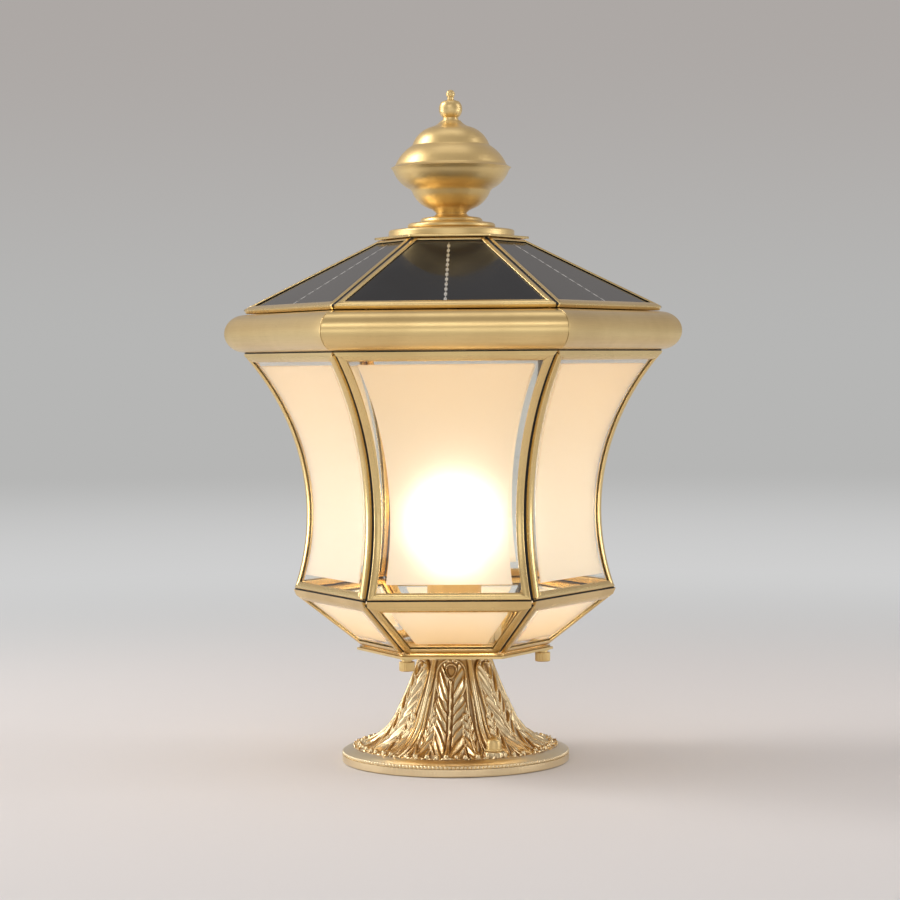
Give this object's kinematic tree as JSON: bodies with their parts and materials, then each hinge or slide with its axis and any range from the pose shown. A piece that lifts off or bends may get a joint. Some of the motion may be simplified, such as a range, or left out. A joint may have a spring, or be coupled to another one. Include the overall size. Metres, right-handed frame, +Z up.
{
  "type": "solar post lantern",
  "caption": "Hexagonal brass and frosted-glass lantern with a sloping solar roof, turned finial and leaf-cast pedestal, to stand on a gate post or wall pier.",
  "frame": {"origin": "centre of the pedestal's underside, on the surface that the lantern stands on", "axes": "+Z up along the lantern's axis; one flat side of the hexagon faces -Y"},
  "size_m": [0.2996, 0.2596, 0.4378],
  "materials": {
    "satin_brass": "satin brushed",
    "brushed_brass": "long brushed grain",
    "turned_brass": "satin, turned",
    "cast_brass": "cast relief, brushed high spots and darker hollows",
    "frosted_glass": "frosted field inside a clear bevelled border",
    "solar_cell": "black cells under gloss",
    "bulb_glass": "opal, warm glow",
    "bulb_metal": "plain",
    "zinc_steel": "zinc plated",
    "white_steel": "matt white",
    "black_plastic": "moulded",
    "white_plastic": "moulded",
    "cell_wrap": "shrink sleeve",
    "lead_sleeve": "matt sleeve",
    "button_rubber": "matt"
  },
  "bodies": {
    "base": {"bottom_plate": "satin_brass", "lamp_cup": "turned_brass", "lamp_holder": "black_plastic", "holder_lead": "lead_sleeve", "lead_socket": "white_plastic", "switch_body": "black_plastic", "pedestal": "cast_brass", "pedestal_tube": "zinc_steel", "tube_nut": "zinc_steel", "mounting_plate": "zinc_steel", "mounting_studs": "turned_brass", "mounting_nuts": "turned_brass"},
    "housing": {"side_frame_1": "satin_brass", "side_frame_2": "satin_brass", "side_frame_3": "satin_brass", "side_frame_4": "satin_brass", "side_frame_5": "satin_brass", "side_frame_6": "satin_brass", "side_glass_1": "frosted_glass", "side_glass_2": "frosted_glass", "side_glass_3": "frosted_glass", "side_glass_4": "frosted_glass", "side_glass_5": "frosted_glass", "side_glass_6": "frosted_glass", "lower_frames": "satin_brass", "lower_panes": "frosted_glass", "eave_moulding": "brushed_brass", "roof_frames": "satin_brass", "solar_panels": "solar_cell", "roof_cap": "satin_brass", "roof_deck": "white_steel", "finial_flange": "turned_brass", "finial_collar": "turned_brass", "finial_lower_bowl": "turned_brass", "finial_upper_bowl": "turned_brass", "finial_rod": "zinc_steel", "battery_case": "black_plastic", "battery_lid": "black_plastic", "battery_cells": "cell_wrap", "charge_controller": "black_plastic", "junction_boxes": "black_plastic", "panel_jumpers": "lead_sleeve", "panel_leads": "lead_sleeve", "battery_lead": "lead_sleeve", "main_lead": "lead_sleeve", "lead_plug": "white_plastic", "housing_ring": "satin_brass", "housing_studs": "turned_brass"},
    "bulb": {"bulb_cap": "bulb_metal", "bulb_globe": "bulb_glass"},
    "finial_knob": {"finial_knob": "turned_brass"},
    "switch_button": {"switch_button": "button_rubber"},
    "washer_1": {"thumb_washer_1": "satin_brass"},
    "nut_1": {"thumb_nut_1": "turned_brass"},
    "washer_2": {"thumb_washer_2": "satin_brass"},
    "nut_2": {"thumb_nut_2": "turned_brass"},
    "washer_3": {"thumb_washer_3": "satin_brass"},
    "nut_3": {"thumb_nut_3": "turned_brass"}
  },
  "joints": [
    {"name": "housing_lift", "type": "slide", "parent": "base", "child": "housing", "axis": [0, 0, 1], "range_m": [0, 0.125]},
    {"name": "bulb_turn", "type": "hinge", "parent": "base", "child": "bulb", "pos_m": [0, 0, 0.105], "axis": [0, 0, 1], "range_deg": [0, 1080]},
    {"name": "finial_knob_turn", "type": "hinge", "parent": "housing", "child": "finial_knob", "pos_m": [0, 0, 0.42], "axis": [0, 0, 1], "range_deg": [0, 1800]},
    {"name": "switch_button_press", "type": "slide", "parent": "base", "child": "switch_button", "axis": [0, 0, 1], "range_m": [0, 0.0015], "stiffness_N_per_m": 300, "springref_m": -0.001},
    {"name": "washer_1_drop", "type": "slide", "parent": "base", "child": "washer_1", "axis": [0, 0, -1], "range_m": [0, 0.006]},
    {"name": "nut_1_turn", "type": "hinge", "parent": "washer_1", "child": "nut_1", "pos_m": [0.0575, 0, 0.068], "axis": [0, 0, -1], "range_deg": [0, 3090]},
    {"name": "washer_2_drop", "type": "slide", "parent": "base", "child": "washer_2", "axis": [0, 0, -1], "range_m": [0, 0.006]},
    {"name": "nut_2_turn", "type": "hinge", "parent": "washer_2", "child": "nut_2", "pos_m": [-0.02875, 0.0498, 0.068], "axis": [0, 0, -1], "range_deg": [0, 3090]},
    {"name": "washer_3_drop", "type": "slide", "parent": "base", "child": "washer_3", "axis": [0, 0, -1], "range_m": [0, 0.006]},
    {"name": "nut_3_turn", "type": "hinge", "parent": "washer_3", "child": "nut_3", "pos_m": [-0.02875, -0.0498, 0.068], "axis": [0, 0, -1], "range_deg": [0, 3090]}
  ],
  "couplings": [
    {"joint": "nut_1_turn", "follows": "washer_1_drop", "rad_per_m": 8976},
    {"joint": "nut_2_turn", "follows": "washer_2_drop", "rad_per_m": 8976},
    {"joint": "nut_3_turn", "follows": "washer_3_drop", "rad_per_m": 8976}
  ]
}
